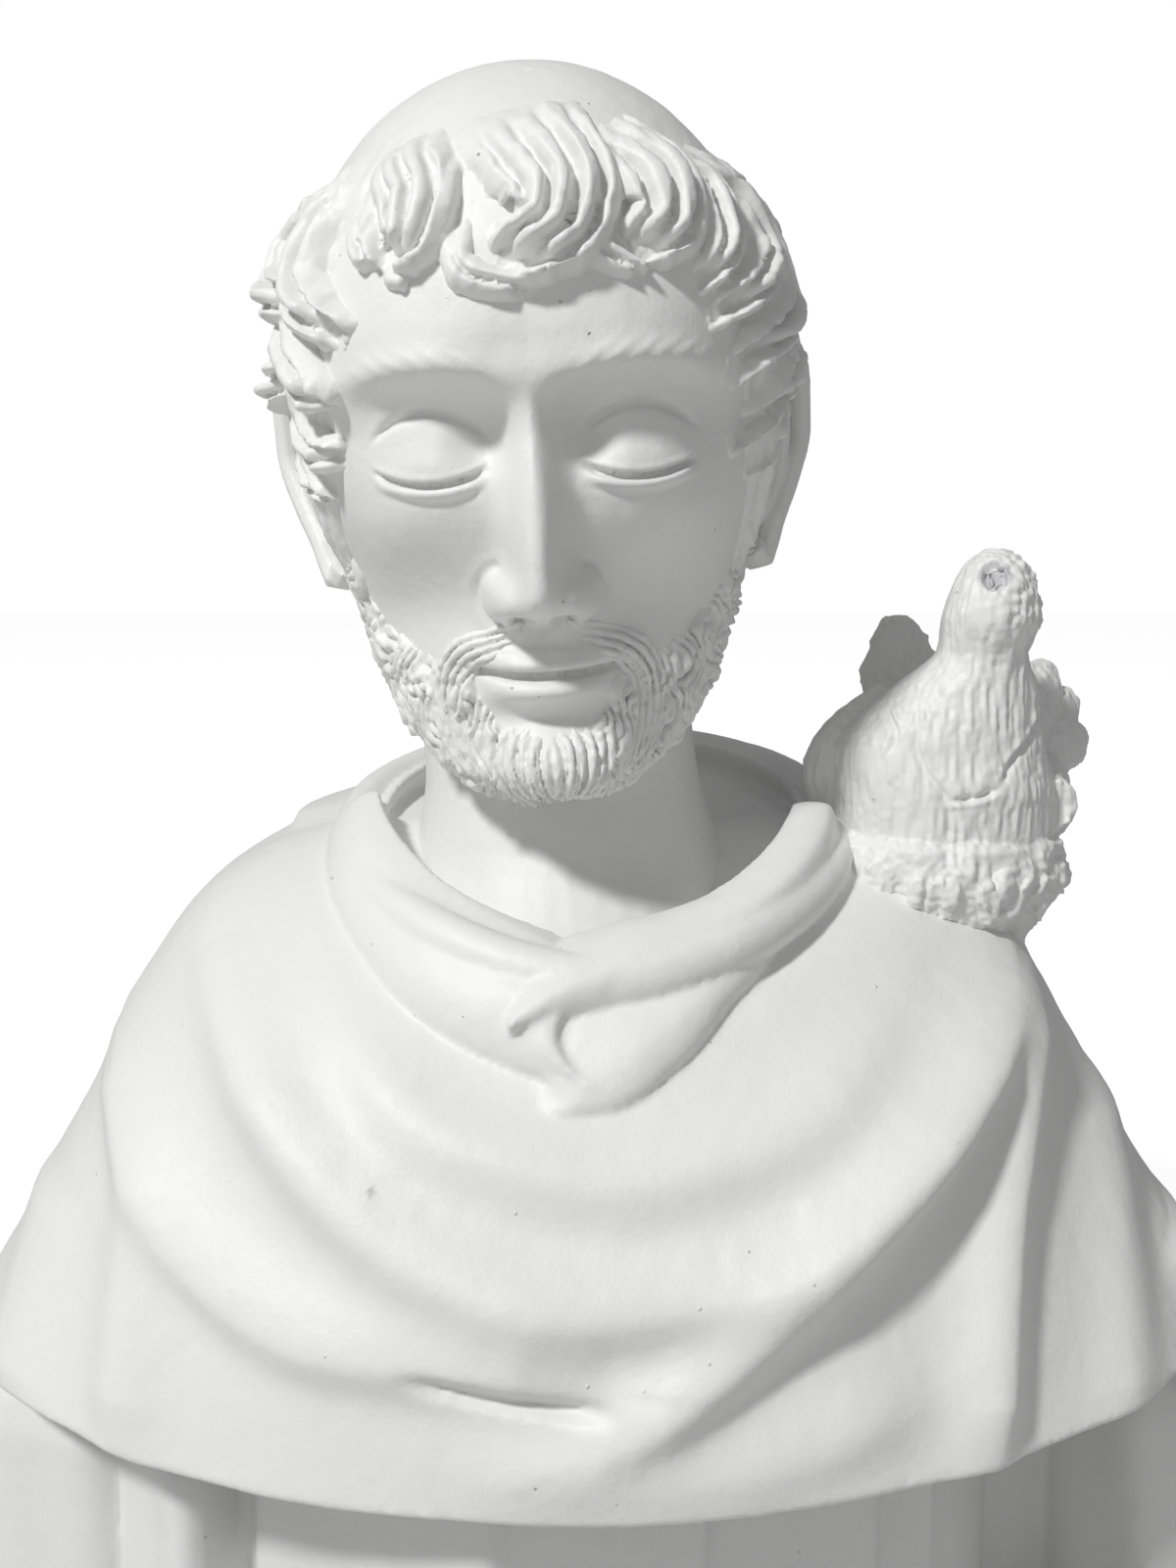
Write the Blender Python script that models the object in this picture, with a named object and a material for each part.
"""A plaster bust of a friar in a hooded cape, with a dove in its nest on the left shoulder.

The bust is one casting, and the dove with its nest is a second one, bedded on the shoulder.
Each is built from overlapping closed shapes, such as lofts and tapered locks carried along
curves, which a voxel Remesh fuses and a Decimate makes light. Lengths inside the functions are
in parts of the bust's height, PARTS to the whole. Right is +X, the back is +Y, and up is +Z.
"Forward" is -Y.
"""

import math

import bmesh
import bpy
import numpy as np
from mathutils import Matrix

# Driving dimensions, in metres
BUST_HEIGHT = 0.255
HEM_WALL = 0.0026
HEM_TURNED_UP = 0.010
DOVE_HEIGHT = 0.067
BEDDING_GAP = 0.0004
BEAK_BREAK_WIDTH = 0.0034
BEAK_BREAK_LENGTH = 0.0056
BEAK_BREAK_DEPTH = 0.0014

# The bust is laid out in this many parts of its height, and the dove in as many of its own
PARTS = 255
PART = BUST_HEIGHT / PARTS
DOVE_PARTS = 67
DOVE_PART = DOVE_HEIGHT / DOVE_PARTS

# How finely the castings are fused, and how many faces they keep
BUST_VOXEL = 0.95 * PART
BUST_TRIANGLES = 7800
DOVE_VOXEL = 0.62 * DOVE_PART
DOVE_TRIANGLES = 1500
CUTTER_VOXEL = 1.0 * PART
CUTTER_TRIANGLES = 6000

PLASTER_COLOUR = (0.86, 0.86, 0.85, 1.0)
PLASTER_ROUGHNESS = 0.55

# The head's place and pose on the shoulders
HEAD_CENTRE = np.array([-7.4, -12.0, 202.0])
HEAD_BOW = math.radians(6.0)
HEAD_LEAN = math.radians(-2.9)
HEAD_SIZE = 0.945
HEAD_HALF_HEIGHT = 56.5

# Head sections from crown to chin: height, half width, centre forward, half depth, squareness of the front
HEAD_ROWS = np.array(
    [
        (58, 43, 6, 51, 2.1),
        (50, 43, 6, 51, 2.1),
        (40, 42.5, 5, 52, 2.15),
        (30, 41, 4.5, 51, 2.25),
        (18, 39.5, 4, 49, 2.4),
        (8, 37.6, 3.8, 46.6, 2.5),
        (0, 36, 3.8, 44.6, 2.45),
        (-10, 35.6, 2, 43.9, 2.4),
        (-24, 35, 2.5 - 4.0, 44.5, 2.3),
        (-35, 36, 7.8 - 5.0, 45.0, 2.2),
        (-45, 38.5, 12 - 2.0, 47, 2.15),
        (-53, 42, 17, 53, 2.1),
        (-58, 43, 19, 54, 2.1),
    ]
)[::-1]

# Cape rings from neck to hem: share down the cape, half width, side height, front reach, front height,
# back reach, back height
CAPE_ROWS = np.array(
    [
        (0.00, 34, 138, 38, 122, 34, 146),
        (0.12, 50, 135, 48, 117, 44, 142),
        (0.25, 64, 127.5, 56, 109, 51, 134),
        (0.40, 74, 115, 62.5, 99, 56, 120),
        (0.60, 84, 95.5, 68, 84, 60, 99),
        (0.80, 95, 75.5, 72, 69, 62, 78),
        (1.00, 105.5, 58.5, 75, 53.0, 64, 57),
    ]
)
CAPE_SQUARENESS = 2.25
CAPE_DROP = 78


def smooth(x, xs, ys):
    """A smooth curve through the points (xs, ys) that doesn't overshoot between them."""
    xs = np.asarray(xs, float)
    ys = np.asarray(ys, float)
    x = np.clip(x, xs[0], xs[-1])
    step = np.diff(xs)
    slope = np.diff(ys) / step
    same = slope[:-1] * slope[1:] > 0
    total = np.where(same, slope[:-1] + slope[1:], 1.0)
    inner = np.where(same, 2 * slope[:-1] * slope[1:] / total, 0.0)
    tangent = np.concatenate([slope[:1], inner, slope[-1:]])
    k = np.clip(np.searchsorted(xs, x) - 1, 0, len(step) - 1)
    t = (x - xs[k]) / step[k]
    return (
        ys[k] * (1 + 2 * t) * (1 - t) ** 2
        + ys[k + 1] * t * t * (3 - 2 * t)
        + step[k] * tangent[k] * t * (1 - t) ** 2
        + step[k] * tangent[k + 1] * t * t * (t - 1)
    )


def curve(points, count):
    """count points spaced along the smooth curve through the given ones."""
    points = np.asarray(points, float)
    reach = np.concatenate([[0.0], np.cumsum(np.linalg.norm(np.diff(points, axis=0), axis=1))])
    at = np.linspace(0.0, reach[-1], count)
    return np.stack([smooth(at, reach, points[:, i]) for i in range(points.shape[1])], axis=1)


def power(value, exponent):
    """The signed power that turns a circle's sine and cosine into a squarer section."""
    return np.sign(value) * np.abs(value) ** exponent


def bump(x, z, at_x, at_z, wide, high, steep=2.0):
    """A smooth mound of height 1 at (at_x, at_z)."""
    return np.exp(-(np.abs((x - at_x) / wide) ** steep) - np.abs((z - at_z) / high) ** steep)


def unit(vectors):
    return vectors / np.maximum(np.linalg.norm(vectors, axis=-1, keepdims=True), 1e-9)


def face_relief(x, z):
    """How far the calm, regular face stands forward of the plain head at (x, z)."""
    side = np.abs(x)
    nose_height = smooth(z, (-30, -28, -26.5, -24.5, -21.5, -17, -10, -3, 3, 8, 14),
                         (0, 1.0, 4.5, 11.5, 13.8, 12.4, 8.6, 5.0, 2.6, 1.2, 0))
    nose_stops = (-28, -25, -21, -17, -10, -3, 3, 8)
    nose_half_width = smooth(z, nose_stops, (6.0, 5.8, 5.0, 4.5, 4.1, 3.6, 3.8, 6.0))
    relief = nose_height * np.exp(-((side / nose_half_width) ** 2.4))
    relief += 5.4 * bump(side, z, 6.3, -22.4, 2.7, 3.6, 2.4)
    relief -= 5.6 * bump(side, z, 14.0, 2.0, 11.0, 7.5, 2.4) + 3.0 * bump(side, z, 7.0, 1.5, 4.2, 5.5)
    across = (side - 15.4) / 8.0
    relief += 3.9 * np.exp(-(np.abs(across) ** 2.6) - np.abs((z + 0.8) / 5.8) ** 2.4)
    lash_line = -3.6 - 1.7 * (1 - across**2)
    open_eye = np.clip((1.12 - np.abs(across)) / 0.4, 0, 1)
    open_eye = open_eye * open_eye * (3 - 2 * open_eye)
    relief -= 1.0 * open_eye * np.exp(-(((z - lash_line) / 0.55) ** 2))
    relief += 0.7 * open_eye * np.exp(-(((z - lash_line + 1.5) / 0.9) ** 2))
    relief -= 0.7 * open_eye * np.exp(-(((z - 4.9 + 3.4 * across**2) / 0.8) ** 2))
    brow_line = 9.2 + 1.8 * np.sin(np.clip((side - 4) / 24, 0, 1) * math.pi)
    relief += 1.7 * np.exp(-(((z - brow_line) / 2.6) ** 2)) * bump(side, z, 15, 9, 14, 9, 4)
    relief += 1.4 * bump(side, z, 14, 13, 15, 6)
    relief += 2.8 * bump(x, z, 0, -34, 14, 10)
    mouth = -34.7 + 0.9 * (np.minimum(side, 14) / 12) ** 2
    upper = np.clip(1 - (side / 12.6) ** 2, 0, 1) ** 0.7
    lower = np.clip(1 - (side / 10.6) ** 2, 0, 1) ** 0.8
    relief += (2.2 - 0.5 * np.exp(-((x / 1.6) ** 2))) * upper * np.exp(-(((z - mouth - 1.8) / 1.8) ** 2))
    relief += 2.9 * lower * np.exp(-(((z - mouth + 2.4) / 2.2) ** 2))
    relief -= 2.0 * upper * np.exp(-(((z - mouth) / 0.7) ** 2))
    relief -= 0.7 * bump(x, z, 0, -30, 1.5, 3.0)
    relief += 4.0 * bump(x, z, 0, -49, 9, 6.5) - 2.0 * bump(x, z, 0, -41.5, 9, 2.6)
    relief += 2.0 * bump(side, z, 22, -11, 9, 8) - 1.5 * bump(side, z, 21, -27, 7, 9)
    return relief


def head_point(angle, height):
    """The skin of the head at an angle from the front and a height, in world parts."""
    half_width, centre, half_depth, square = (
        smooth(height, HEAD_ROWS[:, 0], HEAD_ROWS[:, i]) for i in (1, 2, 3, 4)
    )
    dome = np.sqrt(np.clip(1 - (height / HEAD_HALF_HEIGHT) ** 2, 0, 1))
    exponent = np.where(np.cos(angle) > 0, 2 / square, 2 / 2.1)
    x = half_width * dome * power(np.sin(angle), exponent)
    forward = centre + half_depth * dome * power(np.cos(angle), exponent)
    facing = np.clip((np.cos(angle) - 0.05) / 0.35, 0, 1)
    forward = forward + face_relief(x, height) * facing * facing * (3 - 2 * facing)
    return place_on_head(x, forward, height)


def place_on_head(x, forward, height):
    """Head coordinates turned by the head's lean and bow and moved to its place."""
    leaned_x = x * math.cos(HEAD_LEAN) + height * math.sin(HEAD_LEAN)
    leaned_z = height * math.cos(HEAD_LEAN) - x * math.sin(HEAD_LEAN)
    y = -forward * math.cos(HEAD_BOW) - leaned_z * math.sin(HEAD_BOW)
    z = -forward * math.sin(HEAD_BOW) + leaned_z * math.cos(HEAD_BOW)
    return np.stack([leaned_x, y, z], axis=-1) * HEAD_SIZE + HEAD_CENTRE


def head_place(point):
    """The angle from the front and the height on the head that lie under a point in world parts."""
    leaned_x, y, z = np.moveaxis((point - HEAD_CENTRE) / HEAD_SIZE, -1, 0)
    forward = -y * math.cos(HEAD_BOW) - z * math.sin(HEAD_BOW)
    leaned_z = z * math.cos(HEAD_BOW) - y * math.sin(HEAD_BOW)
    height = leaned_z * math.cos(HEAD_LEAN) + leaned_x * math.sin(HEAD_LEAN)
    x = leaned_x * math.cos(HEAD_LEAN) - leaned_z * math.sin(HEAD_LEAN)
    half_width, centre, half_depth, square = (
        smooth(height, HEAD_ROWS[:, 0], HEAD_ROWS[:, i]) for i in (1, 2, 3, 4)
    )
    ahead = (forward - centre) / half_depth
    exponent = np.where(ahead > 0, square, 2.1) / 2
    return np.arctan2(power(x / half_width, exponent), power(ahead, exponent)), height


def outward(surface, first, second, step=0.02):
    """The outward direction of a surface function at its two parameters."""
    along_first = surface(first + step, second) - surface(first - step, second)
    along_second = surface(first, second + step) - surface(first, second - step)
    return unit(np.cross(along_first, along_second))


def cape_point(angle, share, folds=True):
    """The outside of the cape at an angle from the front and a share of the way from neck to hem."""
    half_width, side, front_reach, front, back_reach, back = (
        smooth(share, CAPE_ROWS[:, 0], CAPE_ROWS[:, i]) for i in range(1, 7)
    )
    ahead = np.clip(np.cos(angle), 0, 1) ** (1.5 + share)
    behind = np.clip(-np.cos(angle), 0, 1) ** 1.5
    x = 1.5 * share + half_width * power(np.sin(angle), 2 / CAPE_SQUARENESS)
    reach = np.where(np.cos(angle) > 0, front_reach, back_reach)
    y = -reach * power(np.cos(angle), 2 / CAPE_SQUARENESS)
    z = side + (front - side) * ahead + (back - side) * behind
    z = z + 5.0 * share**4 * np.clip(np.sin(angle), 0, 1)
    point = np.stack([x, y, z], axis=-1)
    if folds:
        push = fold_relief(x, z, y)
        point = point + push[..., None] * unit(np.stack([x * 0.6, y, 0 * z + 12], axis=-1))
    return point


# Folds of the cape: crest points (x, height), half widths above and below the crest, and height
FRONT_FOLDS = (
    (((-58, 122), (-45, 103), (-24, 86.5), (0, 80.5), (24, 84.5), (44, 98), (62, 115)), 8, 5.5, 5.0),
    (((-70, 100), (-56, 82), (-36, 73.5), (-12, 72.5), (3, 71)), 9, 4.2, 3.2),
    (((-2, 61), (10, 67), (21, 75), (36, 87), (50, 100), (64, 118)), 6, 4.2, 4.8),
    (((-20, 60), (0, 58), (20, 59), (48, 68)), 6, 5, 1.8),
    (((-38, 116), (-18, 101), (4, 96.5), (26, 101), (46, 116)), 6, 5.5, 3.0),
    (((69, 118), (63, 100), (58.5, 84), (56.5, 68), (55.5, 55)), 4, 5.5, 4.6),
    (((82, 100), (80, 80), (78, 56)), 6, 5, 2.6),
    (((-75, 108), (-66, 86), (-67, 54)), 6, 5, 3.0),
    (((-86, 84), (-89, 56)), 7, 5, 2.2),
    (((-24, 71.2), (-11, 68.8), (2.5, 67.6)), 1.3, 1.2, -2.4),
    (((92, 76), (97, 66), (102, 60)), 4, 3, 3.6),
)
BACK_FOLDS = (
    (((-50, 140), (-40, 118), (-20, 104), (0, 99), (20, 104), (40, 118), (50, 140)), 15, 3, 7.5),
    (((-36, 134), (-18, 118), (0, 113), (18, 118), (36, 134)), 5, 4, 2.6),
    (((-66, 120), (-34, 90), (0, 80), (34, 90), (66, 120)), 10, 7, 3.2),
    (((-80, 100), (-40, 70), (0, 63), (40, 70), (80, 100)), 9, 5, 3.0),
    (((-84, 96), (-88, 56)), 7, 5, 2.8),
    (((84, 96), (88, 56)), 7, 5, 2.8),
    (((-52, 76), (-56, 54)), 7, 6, 2.2),
    (((50, 78), (54, 54)), 7, 6, 2.2),
    (((-16, 72), (-18, 54)), 7, 6, 1.8),
    (((20, 72), (22, 54)), 7, 6, 1.8),
)


def nearest_on(line, x, z):
    """The distance from a curve to each (x, z), which side it lies on, and how far along the curve."""
    best = np.full(np.shape(x), 1e9)
    side = np.zeros(np.shape(x))
    along = np.zeros(np.shape(x))
    for i in range(len(line) - 1):
        run = line[i + 1] - line[i]
        t = np.clip(((x - line[i, 0]) * run[0] + (z - line[i, 1]) * run[1]) / (run @ run), 0, 1)
        apart_x = x - line[i, 0] - t * run[0]
        apart_z = z - line[i, 1] - t * run[1]
        distance = np.hypot(apart_x, apart_z)
        closer = distance < best
        best = np.where(closer, distance, best)
        side = np.where(closer, np.sign(run[0] * apart_z - run[1] * apart_x), side)
        along = np.where(closer, (i + t) / (len(line) - 1), along)
    return best, side, along


def fold_relief(x, z, y):
    """How far the cape's folds stand out: ridges along curves, fading towards each curve's ends."""
    total = np.zeros(np.shape(x))
    for folds, there in ((FRONT_FOLDS, y < 0), (BACK_FOLDS, y >= 0)):
        for crest, above, below, height in folds:
            distance, side, along = nearest_on(curve(crest, 25), x, z)
            width = np.where(side > 0, above, below)
            fade = np.clip(np.minimum(along, 1 - along) * 5 + 0.25, 0, 1)
            total = total + np.where(there, height * fade * np.exp(-((distance / width) ** 2)), 0.0)
    edge = np.clip(np.abs(y) / 14, 0, 1)
    return total * edge * edge * (3 - 2 * edge)


def skin(rings):
    """A closed mesh through rings of points, each end closed by a fan."""
    rings = np.asarray(rings, float)
    rows, columns = rings.shape[:2]
    vertices = np.concatenate([rings.reshape(-1, 3), rings[:1].mean(axis=1), rings[-1:].mean(axis=1)])
    row, column = np.meshgrid(np.arange(rows - 1), np.arange(columns), indexing="ij")
    following = (column + 1) % columns
    start, above = row * columns, (row + 1) * columns
    quads = np.stack(
        [start + column, start + following, above + following, above + column],
        axis=-1,
    ).reshape(-1, 4)
    rim = np.arange(columns)
    after = (rim + 1) % columns
    first = np.stack([np.full(columns, rows * columns), after, rim], axis=1)
    last_row = (rows - 1) * columns
    last = np.stack([np.full(columns, rows * columns + 1), last_row + rim, last_row + after], axis=1)
    return vertices, [*quads.tolist(), *first.tolist(), *last.tolist()]


def ridge(path, facing, half_width, half_height, sides=8, groove=0.0):
    """A closed tapered bar along a path, broad across it and half_height tall in the facing direction."""
    along = unit(np.gradient(path, axis=0))
    facing = unit(facing - (facing * along).sum(-1, keepdims=True) * along)
    across = np.cross(along, facing)
    turn = np.linspace(0, 2 * math.pi, sides, endpoint=False)
    swell = 1 - groove * np.cos(3 * turn) ** 2
    wide = np.asarray(half_width, float).reshape(-1, 1, 1) * across[:, None, :]
    tall = np.asarray(half_height, float).reshape(-1, 1, 1) * facing[:, None, :]
    round_it = wide * (np.cos(turn) * swell)[:, None] + tall * (np.sin(turn) * swell)[:, None]
    rings = path[:, None, :] + round_it
    return skin(rings)


def taper(count, start=0.35, end=0.12, widest=0.4):
    """Shares of full width along a lock, from its root over its widest place to its tip."""
    return smooth(np.linspace(0, 1, count), (0, widest, 0.8, 1), (start, 1, 0.7, end))


def lock(stops, widths, crown, strands=3, rows=15, columns=17):
    """One crowned lock of hair on the head, closed underneath, with grooves that part it into strands.

    stops are (angle in degrees, height) from root to tip, and widths are its half widths at root,
    middle and tip.
    It rises out of the surface at its root, and its strands end one after the other at its tip.
    """
    t = np.linspace(0, 1, rows)
    line = curve(stops, rows)
    angle = np.radians(line[:, 0])
    middle = head_point(angle, line[:, 1])
    across = np.cross(unit(np.gradient(middle, axis=0)), outward(head_point, angle, line[:, 1]))
    half = smooth(t, (0, 0.45, 1), widths)
    u = np.sin(np.linspace(-math.pi / 2, math.pi / 2, columns))
    angle, height = head_place(middle[:, None] + across[:, None] * (half[:, None] * u)[..., None])
    base = head_point(angle, height)
    facing = outward(head_point, angle, height)
    strand = (u + 1) / 2 * strands
    parting = np.exp(-(((strand - np.round(strand)) / 0.17) ** 2))
    parting = parting * ((strand > 0.3) & (strand < strands - 0.3))
    end = 1 - 0.14 * (np.floor(np.clip(strand, 0, strands - 0.01)) * 2 % 3) / 2
    rise = crown * smooth(t, (0, 0.3, 0.6, 0.85, 1), (0.0, 0.7, 1, 1, 0.75))
    depth = 0.62 * smooth(t, (0.08, 0.5, 1), (0, 1, 1))
    stays = np.sqrt(np.clip((end - t[:, None]) / 0.1, 0.02, 1))
    high = rise[:, None] * (1 - u**2) ** 0.55 * (1 - depth[:, None] * parting) * stays
    over = base + facing * (high - 0.5)[..., None]
    under = (base - facing * 2.2)[:, ::-3]
    return skin(np.concatenate([over, under], axis=1))



# Locks of the fringe: stops (angle, height), half widths at root, middle and tip, crown's height, strands
FRINGE = (
    (((-11, 32), (-11.5, 26), (-7, 22.5), (3, 20.8)), (1.4, 2.6, 1.6), 3.4, 2),
    (((-3, 47), (4, 40), (8, 34), (6, 29), (-4, 25)), (11.0, 9.0, 4.4), 6.4, 5),
    (((15, 32), (13, 27), (17, 24), (24, 21.8)), (1.4, 2.4, 1.2), 3.0, 2),
    (((22, 44), (29, 39), (33, 34), (31, 29), (22, 25.5)), (7.5, 7.6, 3.6), 5.4, 4),
    (((-40, 35), (-38, 30), (-29.5, 24)), (2.0, 3.0, 1.0), 3.2, 2),
    (((-34, 43), (-28, 38), (-22, 33), (-22, 28.5), (-28, 25.5)), (6.6, 6.4, 3.0), 5.0, 4),
    (((-28, 27), (-26, 23.2), (-22, 22.3)), (0.8, 1.3, 0.8), 2.2, 1),
    (((-19, 42), (-19, 36), (-14, 30)), (2.6, 3.0, 1.6), 3.4, 2),
    (((-28, 38), (-25, 34), (-18, 31)), (1.0, 1.7, 1.0), 3.0, 1),
    (((-44, 39), (-56, 33), (-58, 25), (-39, 15.5)), (5.2, 5.8, 2.8), 6.0, 3),
    (((-66, 37), (-84, 30), (-80, 23), (-56, 21)), (5.0, 5.0, 3.2), 7.4, 3),
    (((-80, 23), (-68, 16), (-54, 10), (-46, 6)), (4.4, 5.2, 2.8), 5.6, 3),
    (((-96, 21), (-100, 14), (-84, 9), (-66, 11)), (4.2, 4.4, 3.0), 7.6, 3),
    (((-84, 9), (-70, 4), (-58, 0), (-47, -1)), (4.0, 4.6, 2.2), 4.8, 3),
    (((-92, 5), (-84, 0), (-70, -4), (-60, -9)), (3.8, 4.2, 1.8), 4.4, 3),
    (((38, 40), (50, 34), (48, 27), (36, 20)), (4.2, 4.4, 1.8), 4.8, 3),
    (((46, 40), (63, 33), (66, 26), (39, 15.5)), (4.4, 4.6, 2.0), 5.4, 3),
    (((57, 39), (80, 30), (83, 19), (52, 11), (45, 6)), (5.0, 5.2, 2.0), 6.0, 3),
    (((68, 39), (97, 30), (101, 16), (68, 6), (49, -3)), (5.2, 5.4, 2.2), 6.2, 3),
    (((96, 20), (104, 8), (80, 1), (60, -7)), (4.8, 5.0, 2.0), 4.6, 3),
)


def hair_locks(rows=15, columns=17):
    """The fringe round the tonsure, and wavy locks in staggered rows at the sides and down the nape."""
    made = [lock(*shape, rows, columns) for shape in FRINGE]
    random = np.random.default_rng(5)
    for row, (first, top, length) in enumerate(((88, 41, 26), (100, 25, 26), (108, 9, 25), (114, -7, 21))):
        for side in (-1, 1):
            for angle in np.arange(first + 8 * (side < 0) * (row < 1), 184, 11.5):
                sway = random.uniform(6, 10) * (1 if (row + int(angle / 11)) % 2 else -1)
                root = angle + random.uniform(-2, 2)
                high = top + random.uniform(-2, 2)
                reach = length * random.uniform(0.85, 1.1)
                stops = (
                    (side * root, high),
                    (side * (root + sway), high - 0.33 * reach),
                    (side * (root - 0.4 * sway), high - 0.72 * reach),
                    (side * (root + 0.5 * sway), high - reach),
                )
                made.append(lock(stops, (4.6, 5.4, 2.2), random.uniform(4.2, 5.6), 3, rows, columns))
    return made


# The middle line of each half of the moustache: how far out, and height
MOUSTACHE = ((3.0, -28.6), (10.5, -30.5), (16.5, -35.5), (19.0, -43.0), (20.0, -50.0))


def beard_edge(angle):
    """The height of the beard's upper edge at an angle from the front, in degrees."""
    return smooth(np.abs(angle), (0, 14, 24, 34, 48, 62, 76, 90), (-44.5, -43, -36, -33, -31, -24, -10, 2))


def beard_locks(rows=8, columns=9):
    """Small curls in rows along the jaw, bowed locks on the chin, and the moustache's two halves."""
    made = []
    random = np.random.default_rng(8)
    for row in range(5):
        for angle in np.arange(-88 + 5 * (row % 2), 90, 9.5):
            top = float(beard_edge(angle)) + 0.5 - 5.4 * row
            lowest = -55.0 + 12 * max(0.0, (abs(angle) - 40) / 50)
            if top < lowest + 2 or abs(angle) < 26:
                continue
            bow = random.uniform(3.0, 4.6) * (1 if (row + int(angle / 9)) % 2 else -1)
            low = max(top - random.uniform(7.5, 9.5), lowest - 1.5)
            stops = ((angle, top), (angle + bow, 0.55 * top + 0.45 * low), (angle - 0.4 * bow, low))
            made.append(lock(stops, (1.6, 2.4, 1.0), random.uniform(1.9, 2.8), 2, rows, columns))
    for arc in (-3, -2, -1, 1, 2, 3):
        spread = 7.4 * arc
        stops = ((0.7 * spread, -43.0), (1.1 * spread, -48.5), (0.85 * spread, -55.5))
        made.append(lock(stops, (2.2, 2.4, 1.2), 2.6, 3, rows, columns))
    for side in (-1, 1):
        stops = [(side * math.degrees(math.asin(x / 33)), z) for x, z in MOUSTACHE]
        made.append(lock(stops, (1.4, 3.0, 3.6), 1.9, 4, rows + 6, 3 * columns))
    return made


def beard_mass():
    """The even swell of the beard under its curls, from its upper edge to below the jaw."""
    rings = []
    angle = np.radians(np.linspace(-92, 92, 90))
    edge = beard_edge(np.degrees(angle))
    lowest = -55.5 + 10 * np.clip((np.abs(np.degrees(angle)) - 40) / 52, 0, 1)
    for share in np.linspace(0, 1, 12):
        height = edge + (lowest - edge) * share
        point = head_point(angle, height)
        facing = outward(head_point, angle, height)
        swell = 2.0 * math.sin(math.pi * min(1, share * 0.75 + 0.04)) ** 0.6 - 0.7
        fade = np.clip((92 - np.abs(np.degrees(angle))) / 10, 0, 1)
        over = point + facing * (swell * fade)[:, None]
        rings.append(np.concatenate([over, (point - facing * 2.5)[::-1]]))
    return skin(np.array(rings))


def hair_mass():
    """The even swell of hair under the locks, from the tonsure's ring to the nape."""
    rings = []
    for share in np.linspace(0, 1, 15):
        angle = np.linspace(-math.pi, math.pi, 72, endpoint=False)
        away = np.clip((np.abs(np.degrees(angle)) - 44) / 26, 0, 1)
        top = 47 - 6 * away
        bottom = 30 - 58 * away
        height = top + (bottom - top) * share
        point = head_point(angle, height)
        facing = outward(head_point, angle, height)
        swell = 4.0 * math.sin(math.pi * min(1, share * 0.9 + 0.02)) ** 0.8 * (0.3 + 0.7 * away) - 1.0
        rings.append(point + facing * swell[:, None])
    return skin(np.array(rings))


def head(columns=132, rows=110):
    """The plain head with its face: the skin's rings from crown to chin, closer together round the face."""
    angles = np.linspace(-math.pi, math.pi, columns, endpoint=False)
    angles = angles - 0.4 * np.sin(angles)
    heights = HEAD_HALF_HEIGHT * np.cos(np.linspace(0.03, math.pi - 0.03, rows))
    angle, height = np.meshgrid(angles, heights)
    return skin(head_point(angle, height)[:, ::-1])


def ear(side):
    """An ear's shell: a dished plate, its rolled rim, the inner ridge and the lobe."""
    base = np.array([33.0, 3.5, -7.0])
    made = []

    def at(points):
        """Ear coordinates (back, up, out) to world parts. The plate flares out towards its back."""
        points = np.asarray(points, float)
        flare = math.radians(40)
        back = points[..., 0]
        out = points[..., 2]
        x = base[0] + back * math.sin(flare) + out * math.cos(flare)
        forward = base[1] - back * math.cos(flare) + out * math.sin(flare)
        height = base[2] + points[..., 1] + 0.16 * back
        return place_on_head(side * x, forward, height)

    outline = ((1, 12), (6, 17), (12, 16.5), (16, 10), (16, 2), (12, -6), (7, -12), (3, -17), (0, -14))
    line = curve([(*point, 0.8) for point in outline], 22)
    normal = at(np.array([[0, 0, 1.0]]))[0] - at(np.array([[0, 0, 0.0]]))[0]
    facing = np.tile(unit(normal), (22, 1))
    shape = smooth(np.linspace(0, 1, 22), (0, 0.2, 0.75, 1), (0.8, 1, 0.9, 1.15))
    made.append(ridge(at(line), facing, 2.2 * shape, 2.5 * shape, 8))
    inner = curve([(4, 11, 0), (9, 10, 0), (11, 3, 0), (9, -5, 0), (4, -10, 0)], 14)
    inner_taper = taper(14, 0.7, 0.6)
    made.append(ridge(at(inner + (0, 0, 0.4)), facing[:14], 1.7 * inner_taper, 2.0 * inner_taper, 8))
    turn = np.linspace(0, 2 * math.pi, 24, endpoint=False)
    rings = []
    for size, depth in zip((0.02, 0.5, 0.8, 1.0, 0.8, 0.4, 0.02), (-1.6,) * 4 + (-3.4,) * 3):
        back, up = 6.5 + 9.2 * size * np.cos(turn), 0.5 + 15.5 * size * np.sin(turn)
        rings.append(at(np.stack([back, up, 0 * turn + depth], axis=-1)))
    made.append(skin(np.array(rings)))
    tragus = curve([(1, 2, 1), (2.5, -2, 2), (1.5, -7, 1)], 6)
    made.append(ridge(at(tragus), facing[:6], 1.8 * taper(6, 0.6, 0.6), 2.0 * taper(6, 0.6, 0.6), 8))
    return made


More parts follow.
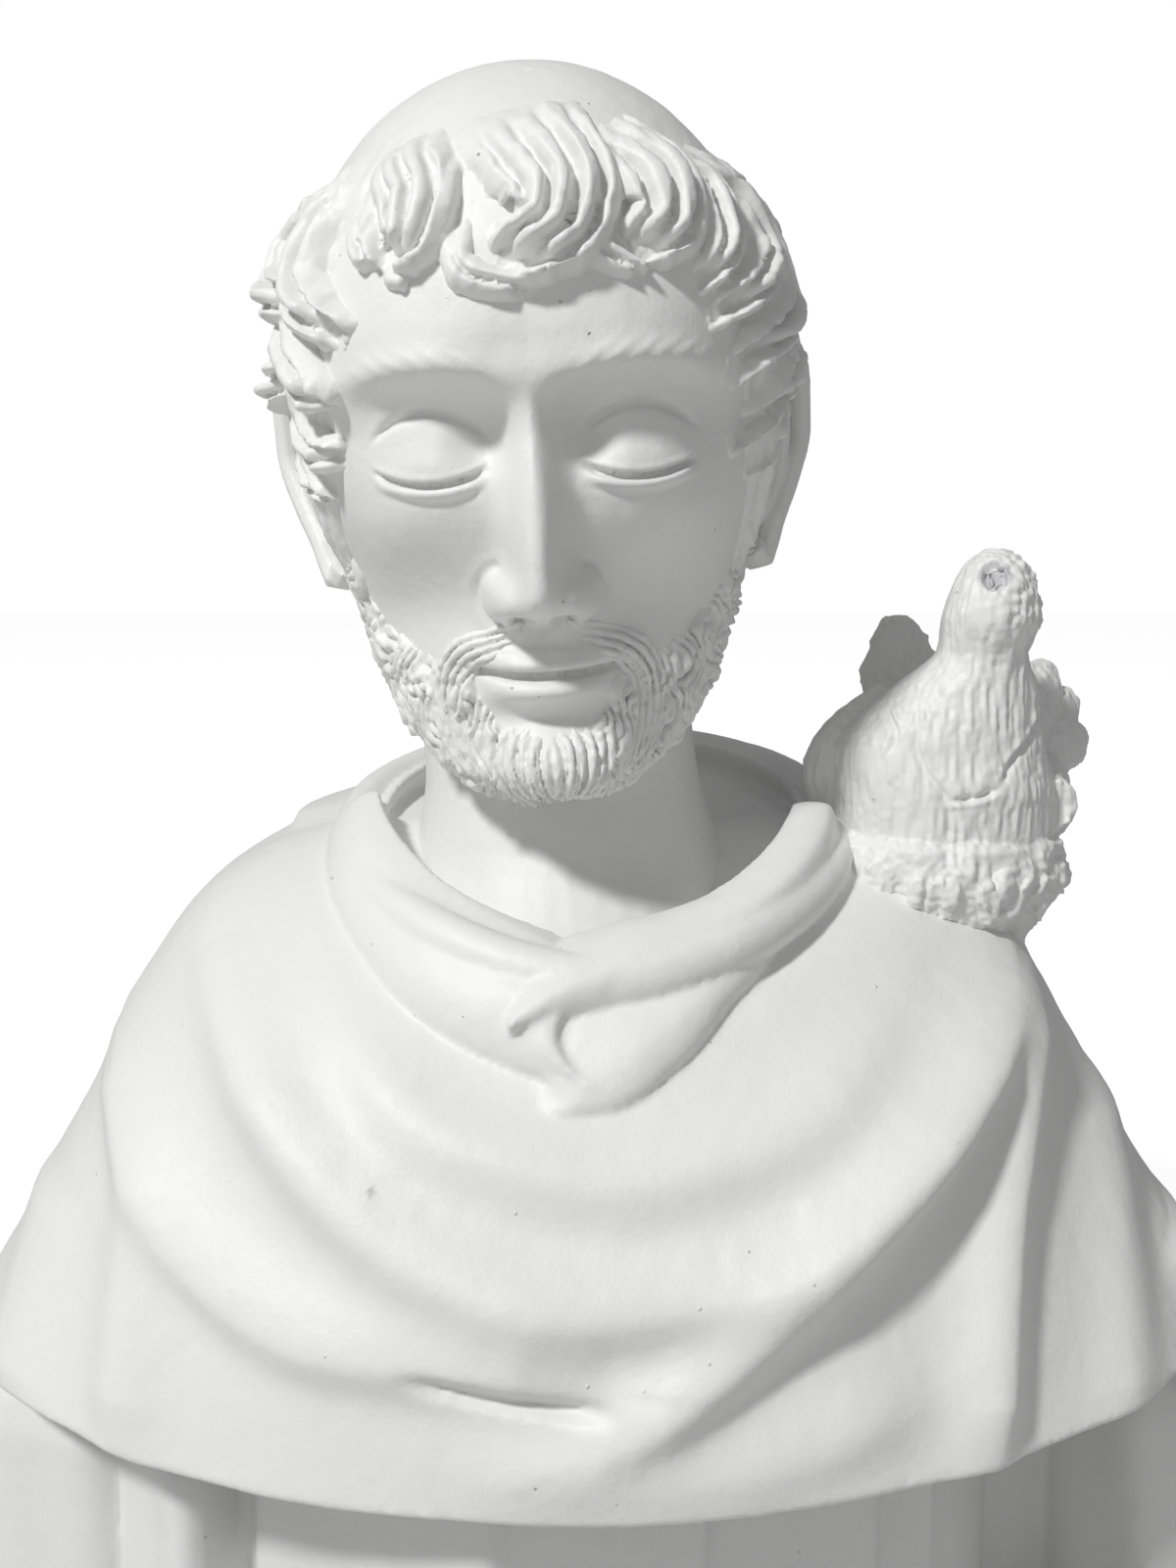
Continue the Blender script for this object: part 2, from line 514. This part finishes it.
def neck():
    """The neck, spreading into the chest inside the hood."""
    heights = np.linspace(100, 178, 27)
    half_width = smooth(heights, (100, 113, 121, 128, 136, 148, 180), (37, 37, 34, 29, 25, 22.5, 22))
    half_depth = smooth(heights, (100, 113, 121, 128, 136, 148, 180), (38, 38, 35, 29, 24.5, 22, 24))
    centre_x = smooth(heights, (100, 180), (0, -7.5))
    centre_y = smooth(heights, (100, 120, 180), (-6, -6, -3))
    turn = np.linspace(0, 2 * math.pi, 48, endpoint=False)
    rings = np.stack(
        [
            centre_x[:, None] + half_width[:, None] * np.sin(turn),
            centre_y[:, None] - half_depth[:, None] * np.cos(turn),
            heights[:, None] + 10 * (1 - np.cos(turn)) * np.clip((122 - heights) / 22, 0, 1)[:, None],
        ],
        axis=-1,
    )
    return skin(rings[:, ::-1])


def rim_point(angle):
    """The hood's rim round the neck: low at the front and high behind."""
    x = 1.0 + 38 * np.sin(angle)
    y = -4 - np.where(np.cos(angle) > 0, 42.5, 40) * np.cos(angle)
    z = 122.7 + 25.5 * ((1 - np.cos(angle)) / 2 + 0.01) ** 0.58
    return np.stack([x, y, z], axis=-1)


def hood_collar():
    """The standing band of the hood round the neck."""
    angle = np.linspace(-math.pi, math.pi, 72, endpoint=False)
    rim = rim_point(angle)
    away = unit(np.stack([np.sin(angle), -np.cos(angle), 0 * angle], axis=-1))
    turn = np.linspace(0, 2 * math.pi, 20, endpoint=False)
    up = np.array([0, 0, 1.0])
    tilt = unit(0.62 * away - up)
    across = unit(away + 0.62 * up)
    centre = rim + tilt * 8
    loops = (
        centre[:, None, :]
        + tilt[:, None, :] * (10 * np.cos(turn))[:, None]
        + across[:, None, :] * (3.2 * np.sin(turn))[:, None]
    )
    return ring_skin(loops)


def ring_skin(loops):
    """A closed ring through loops of points, the last joined to the first."""
    rows, columns = loops.shape[:2]
    row, column = np.meshgrid(np.arange(rows), np.arange(columns), indexing="ij")
    following = (column + 1) % columns
    next_row = (row + 1) % rows
    quads = np.stack(
        [
            row * columns + column,
            row * columns + following,
            next_row * columns + following,
            next_row * columns + column,
        ],
        axis=-1,
    ).reshape(-1, 4)
    return loops.reshape(-1, 3), quads.tolist()


def cape_layer(upper, lower, profile, rows=40, columns=18):
    """A layer of cloth lying on the cape between two edges, each through (angle in degrees, share) stops.

    profile is its height over the cape at five places from the upper edge to the lower one. The
    lower edge is rounded over and cut back underneath.
    """
    scale = np.array([1 / CAPE_DROP, 1.0])
    high_edge = curve(np.asarray(upper) * scale, rows) / scale
    low_edge = curve(np.asarray(lower) * scale, rows) / scale
    v = np.sin(np.linspace(0, math.pi / 2, columns))

    def at(share_across, height):
        place = high_edge[:, None] + (low_edge - high_edge)[:, None] * share_across[:, None]
        angle = np.radians(place[..., 0])
        base = cape_point(angle, place[..., 1], folds=False)
        # the share runs downwards, so the cross product points inwards
        facing = -outward(lambda a, s: cape_point(a, s, folds=False), angle, np.maximum(place[..., 1], 0.03))
        return base + facing * height[..., None]

    ends = smooth(np.linspace(0, 1, rows), (0, 0.1, 0.75, 1), (0.3, 1, 1, 0.08))
    high = smooth(v, (0, 0.25, 0.5, 0.8, 1), profile) * (1 - v**10) ** 0.4
    over = at(v, ends[:, None] * high - 0.4)
    under = at(0.84 * v[::-3], np.full((rows, len(v[::-3])), -2.0))
    return skin(np.concatenate([over, under], axis=1))


def hood_rolls(sides=14, rows=40, columns=18):
    """The hood's front: the roll over the rim, and the layers that cross below it, each to a point."""
    angle = np.radians(np.linspace(-178, 182, 72, endpoint=False))
    rim = rim_point(angle)
    away = np.stack([np.sin(angle), -np.cos(angle), 0 * angle], axis=-1)
    at_front = np.clip(np.cos(angle), 0, 1) ** 0.7
    centre = rim + away * (1.6 + 1.2 * at_front)[:, None]
    centre[:, 2] -= 2.4 + 0.8 * at_front
    turn = np.linspace(0, 2 * math.pi, sides, endpoint=False)
    wide = 3.4 + 0.6 * at_front
    loops = centre[:, None, :] + wide[:, None, None] * (
        away[:, None, :] * np.cos(turn)[:, None] + np.array([0, 0, 1.0]) * (1.1 * np.sin(turn))[:, None]
    )
    left = (
        ((-88, -0.03), (-60, -0.03), (-30, -0.03), (-8, 0.0), (4, 0.10), (2.0, 0.278)),
        ((-88, 0.06), (-64, 0.09), (-42, 0.128), (-22, 0.195), (-9, 0.242), (0.8, 0.288)),
        (5.5, 7.0, 7.0, 5.2, 2.6),
    )
    right_lower = (
        ((74, 0.0), (50, 0.0), (24, 0.03), (10, 0.09), (2, 0.17), (-4, 0.305)),
        ((74, 0.06), (46, 0.085), (24, 0.165), (10, 0.27), (2, 0.325), (-6, 0.335)),
        (1.5, 2.5, 3.4, 4.6, 3.8),
    )
    right_upper = (
        ((78, -0.02), (50, -0.02), (24, -0.02), (8, -0.02), (-2, 0.0), (-8, 0.11)),
        ((80, 0.05), (58, 0.07), (30, 0.10), (10, 0.13), (0, 0.165), (-6.5, 0.20)),
        (5.5, 8.4, 9.2, 9.0, 7.4),
    )
    layers = [cape_layer(*layer, rows, columns) for layer in (left, right_lower, right_upper)]
    return [ring_skin(loops[:, ::-1]), *layers]


def cape(wall, turned_up, columns=168, rows=54):
    """The cape's shell: its outside from neck to hem, the hem's edge, and the turn back up inside."""
    turned_up = turned_up / CAPE_DROP
    angles = np.linspace(-math.pi, math.pi, columns, endpoint=False)
    shares = np.linspace(0, 1, rows)
    angle, share = np.meshgrid(angles, shares)
    outside = cape_point(angle, share)
    inward = unit(np.stack([-np.sin(angles), np.cos(angles), 0 * angles], axis=-1))
    rings = list(outside)
    for share_of_wall in (0.3, 0.9):
        rings.append(outside[-1] + inward * wall * share_of_wall - (0, 0, 0.9))
    for back_up in (0.15, 0.6, 1.0):
        rings.append(cape_point(angles, 1 - turned_up * back_up) + inward * wall * 1.25)
    rings.append(cape_point(angles, 1 - 2 * turned_up) + inward * (wall + 16))
    return skin(np.array(rings)[:, ::-1])


# The habit below the cape: pleats as (angle from the front, width before, width after, height),
# and the two sleeves as (middle, half width, reach of the front)
PLEATS = (
    (-0.78, 0.03, 0.12, 3.0),
    (-0.45, 0.14, 0.10, 0.8),
    (-0.18, 0.18, 0.022, 2.6),
    (0.165, 0.14, 0.022, 3.0),
    (0.56, 0.10, 0.03, 3.2),
    (0.74, 0.07, 0.03, 3.4),
    (1.9, 0.12, 0.06, 2.4),
    (2.4, 0.12, 0.06, 2.4),
    (2.85, 0.12, 0.06, 2.0),
    (-2.9, 0.06, 0.12, 2.0),
    (-2.45, 0.06, 0.12, 2.4),
    (-1.95, 0.06, 0.12, 2.4),
)
SLEEVES = ((-83, 21.5, 40), (-63, 15, 50), (91, 14, 34))


def habit(columns=180):
    """The habit's body and sleeves below the cape, with upright folds, cut off flat."""
    turn = np.linspace(-math.pi, math.pi, columns, endpoint=False)
    pleat = 0 * turn
    for at, before, after, height in PLEATS:
        pleat = pleat + height * np.exp(-(((turn - at) / np.where(turn < at, before, after)) ** 2))
    made = []
    for half_width, front, back, top, folded in ((67, 64, 56, 72, 1.0), (92, 24, 44, 60, 0.3)):
        rings = []
        for z in np.linspace(-4, top, 13):
            radius_x = half_width + folded * pleat
            radius_y = np.where(np.cos(turn) > 0, front, back) + folded * pleat
            x = 1.5 + radius_x * power(np.sin(turn), 2 / 2.3)
            rings.append(np.stack([x, -radius_y * power(np.cos(turn), 2 / 2.3), 0 * turn + z], axis=-1))
        made.append(skin(np.array(rings)[:, ::-1]))
    for middle, half_width, front in SLEEVES:
        rings = []
        for z in np.linspace(-4, 66, 15):
            wave = 1.1 * np.sin(turn * 7 + middle + 0.03 * z) + 0.9 * np.sin(turn * 4 - 0.02 * z)
            shrink = 0.045 * np.clip(z - 46, 0, 30) ** 2 - wave
            x = 1.5 + middle + math.copysign(0.03 * (40 - z), middle) + (half_width - shrink) * np.sin(turn)
            rings.append(np.stack([x, -2 - (front - shrink) * np.cos(turn), 0 * turn + z], axis=-1))
        made.append(skin(np.array(rings)[:, ::-1]))
    return made


# The dove, in its own parts, with its origin in the nest's middle. Its place is set from the point
# on the bust where the hood meets the nest, in parts of the bust, and the reach from there, in
# parts of the dove.
DOVE_SEAT = np.array([39.5, -8.0, 118.0])
DOVE_REACH = np.array([20.0, 0.0, 7.0])
DOVE_PLACE = DOVE_SEAT * PART + DOVE_REACH * DOVE_PART
BREAK_ANGLE = -0.3
DOVE_ROWS = np.array(
    [
        # height, half width, half depth, centre x, centre y
        (3, 16, 14, 0, 0),
        (10, 18.5, 16.5, -0.5, 0),
        (19, 18.3, 17, -1.0, -0.5),
        (26, 17.4, 15.0, -2.0, -1.5),
        (31, 14.8, 13.0, -0.8, -3),
        (37, 10.6, 10, 1.9, -5),
        (42, 7.1, 8.2, 3.5, -7),
        (47, 7.7, 9.0, 4.3, -8.5),
        (51, 6.9, 8.2, 4.6, -9),
        (55.5, 4.9, 6.0, 4.8, -9),
        (58, 1.6, 2.0, 4.8, -8.5),
    ]
)


def dove_surface(angle, height):
    """The dove's body, neck and head as one turned and leaning form."""
    half_width, half_depth, x, y = (smooth(height, DOVE_ROWS[:, 0], DOVE_ROWS[:, i]) for i in (1, 2, 3, 4))
    return np.stack([x + half_width * np.sin(angle), y - half_depth * np.cos(angle), height], axis=-1)


# The left wing, the two layers of the right wing and the tail: root, first and last direction,
# length, number of feathers, facing, half width and half thickness
FEATHER_FANS = (
    ((-9, 2, 20), ((-0.3, 0.9, 0.32), (-0.1, 1, -0.25)), 26, 5, (-1, -0.25, 0.35), 4.2, 2.2),
    ((12, 2, 22), ((0.15, 0.75, 0.95), (0.72, 0.75, 0.2)), 25, 4, (0.5, -0.95, 0.35), 4.8, 1.9),
    ((16, -6, 17), ((0.15, 1, 0.2), (0.1, 1, -0.3)), 22, 3, (1, 0, 0.2), 5.2, 3.6),
    ((-3, 10, 20), ((-0.22, 0.75, 1.05), (0.1, 0.8, 1.1)), 31, 3, (-0.1, -1, 0.75), 5.6, 1.7),
)


def feather_fan(root, spread, length, count, normal, half_width, half_thickness):
    """A wing or tail: rounded feathers side by side, fanning out from a root."""
    made = []
    root = np.array(root, float)
    normal = unit(np.array(normal, float))
    first, last = (unit(np.array(d, float)) for d in spread)
    for i in range(count):
        t = i / max(count - 1, 1)
        direction = unit(first * (1 - t) + last * t)
        reach = length * (1 - 0.18 * abs(2 * t - 1) ** 2)
        path = root + direction * np.linspace(0, reach, 8)[:, None] + normal * (0.7 * (i % 2))
        shape = smooth(np.linspace(0, 1, 8), (0, 0.5, 0.85, 1), (0.8, 1, 0.95, 0.45))
        facing = np.tile(normal, (8, 1))
        made.append(ridge(path, facing, half_width * shape, half_thickness * shape**0.5, 10))
    return made


def dove_shapes():
    """The dove's body, the nest's bowl and its chunks of straw, the tail and the folded wings."""
    made = []
    angles = np.linspace(-math.pi, math.pi, 48, endpoint=False)
    heights = np.concatenate([np.linspace(3, 56, 42), [57, 57.7, 58]])
    angle, height = np.meshgrid(angles, heights)
    made.append(skin(dove_surface(angle, height)[:, ::-1]))
    turn = np.linspace(-math.pi, math.pi, 64, endpoint=False)
    rings = []
    for z, grow in ((-7, 0.72), (-1, 0.9), (3, 1.0), (8, 1.04), (11, 1.0), (12.5, 0.9), (11, 0.75)):
        wobble = 1 + 0.03 * np.sin(9 * turn + z) + 0.02 * np.sin(17 * turn)
        x = 19.8 * grow * wobble * np.sin(turn) - 1.5
        rings.append(np.stack([x, -18.5 * grow * wobble * np.cos(turn), 0 * turn + z], axis=-1))
    made.append(skin(np.array(rings)[:, ::-1]))
    random = np.random.default_rng(3)
    chunks = 34
    for i in range(chunks):
        at = (i + random.uniform(-0.35, 0.35)) * 2 * math.pi / chunks
        low, high = 2.5 + random.uniform(-3, 2), 8.8 + random.uniform(-2, 1.5)
        slant = random.uniform(-0.16, 0.16)
        stops = [(at - slant, low, 18.8 + random.uniform(-1, 1)), (at, 6, 20.0), (at + slant, high, 17.0)]
        path = curve([[r * math.sin(a) - 1.5, -r * 0.92 * math.cos(a), z] for a, z, r in stops], 7)
        wide = random.uniform(1.4, 2.7) * taper(7, 0.9, 0.8)
        made.append(ridge(path, unit(path * (1, 1, 0)), wide, 2.1 * taper(7, 0.9, 0.7), 6))
    wing = curve([(-20, 1, 12), (-20, 0, 21), (-17, 0, 28), (-10, 2, 34.5)], 11)
    slim = taper(11, 0.3, 0.5)
    made.append(ridge(wing, np.tile((-0.5, -0.75, 0.5), (11, 1)), 4.6 * slim, 3.4 * slim, 12))
    for fan in FEATHER_FANS:
        made += feather_fan(*fan)
    return made


def beak_break(wide, long, deep):
    """The rounded slot that the lost beak has left in the top of the dove's face."""
    top = 57.0
    heights = np.linspace(top - long, top, 9)
    angles = np.full(9, BREAK_ANGLE)
    path = dove_surface(angles, heights)
    facing = outward(dove_surface, angles, heights)
    shape = smooth(np.linspace(0, 1, 9), (0, 0.25, 0.75, 1), (0.5, 1, 1, 0.5))
    return ridge(path, facing, wide / 2 * shape, deep * shape, 12)


def mesh_object(name, shapes, unit_size, place=(0, 0, 0)):
    """One object from several closed shapes, scaled to metres and moved to its place."""
    bm = bmesh.new()
    for vertices, faces in shapes:
        made = [bm.verts.new(v) for v in (np.asarray(vertices) * unit_size + np.asarray(place)).tolist()]
        for face in faces:
            bm.faces.new([made[i] for i in face])
    bmesh.ops.recalc_face_normals(bm, faces=bm.faces)
    mesh = bpy.data.meshes.new(name)
    bm.to_mesh(mesh)
    bm.free()
    made = bpy.data.objects.new(name, mesh)
    bpy.context.scene.collection.objects.link(made)
    return made


def fuse(target, voxel):
    """A voxel Remesh that makes the overlapping shapes one skin."""
    remesh = target.modifiers.new("fuse", "REMESH")
    remesh.mode = "VOXEL"
    remesh.voxel_size = voxel


def flat_cut(target, name, height):
    """A box that takes away all below a height, so that the underside is flat."""
    bm = bmesh.new()
    place = Matrix.Translation((0, 0, height - BUST_HEIGHT / 2))
    size = Matrix.Diagonal((BUST_HEIGHT * 2, BUST_HEIGHT * 2, BUST_HEIGHT, 1))
    bmesh.ops.create_cube(bm, size=1.0, matrix=place @ size)
    mesh = bpy.data.meshes.new(name)
    bm.to_mesh(mesh)
    bm.free()
    cutter = helper(bpy.data.objects.new(name, mesh))
    bpy.context.scene.collection.objects.link(cutter)
    subtract(target, cutter)


def helper(target):
    target.hide_render = True
    target.display_type = "WIRE"
    return target


def subtract(target, cutter):
    cut = target.modifiers.new("cut", "BOOLEAN")
    cut.operation = "DIFFERENCE"
    cut.object = cutter


def thin_out(target, triangles):
    """A Decimate that leaves about so many triangles."""
    graph = bpy.context.evaluated_depsgraph_get()
    evaluated = target.evaluated_get(graph)
    mesh = evaluated.to_mesh()
    mesh.calc_loop_triangles()
    count = len(mesh.loop_triangles)
    evaluated.to_mesh_clear()
    decimate = target.modifiers.new("thin_out", "DECIMATE")
    decimate.ratio = min(1.0, triangles / count)


def plaster(name):
    material = bpy.data.materials.new(name)
    material.use_nodes = True
    shader = material.node_tree.nodes["Principled BSDF"]
    shader.inputs["Base Color"].default_value = PLASTER_COLOUR
    shader.inputs["Roughness"].default_value = PLASTER_ROUGHNESS
    shader.inputs["Metallic"].default_value = 0.0
    return material


def main():
    for old in list(bpy.data.objects):
        bpy.data.objects.remove(old)
    cloth = [hood_collar(), cape(HEM_WALL / PART, HEM_TURNED_UP / PART), *hood_rolls()]
    bare = [head(), neck(), *ear(-1), *ear(1)]
    curls = [hair_mass(), *hair_locks(), beard_mass(), *beard_locks()]
    bust = mesh_object("saint_francis_bust", [*cloth, *habit(), *bare, *curls], PART)
    fuse(bust, BUST_VOXEL)
    thin_out(bust, BUST_TRIANGLES)
    flat_cut(bust, "base_plane_cutter", 0.0)
    shoulder = helper(mesh_object("shoulder_cutter", cloth, PART))
    fuse(shoulder, CUTTER_VOXEL)
    swell = shoulder.modifiers.new("bedding", "DISPLACE")
    swell.strength = BEDDING_GAP
    swell.mid_level = 0.0
    fuse(shoulder, CUTTER_VOXEL)
    thin_out(shoulder, CUTTER_TRIANGLES)
    dove = mesh_object("dove_on_nest", dove_shapes(), DOVE_PART, DOVE_PLACE)
    fuse(dove, DOVE_VOXEL)
    thin_out(dove, DOVE_TRIANGLES)
    subtract(dove, shoulder)
    lost = [size / DOVE_PART for size in (BEAK_BREAK_WIDTH, BEAK_BREAK_LENGTH, BEAK_BREAK_DEPTH)]
    subtract(dove, helper(mesh_object("beak_break_cutter", [beak_break(*lost)], DOVE_PART, DOVE_PLACE)))
    for casting in (bust, dove):
        casting.data.materials.append(plaster(casting.name + "_plaster"))
        casting.data.shade_smooth()


main()
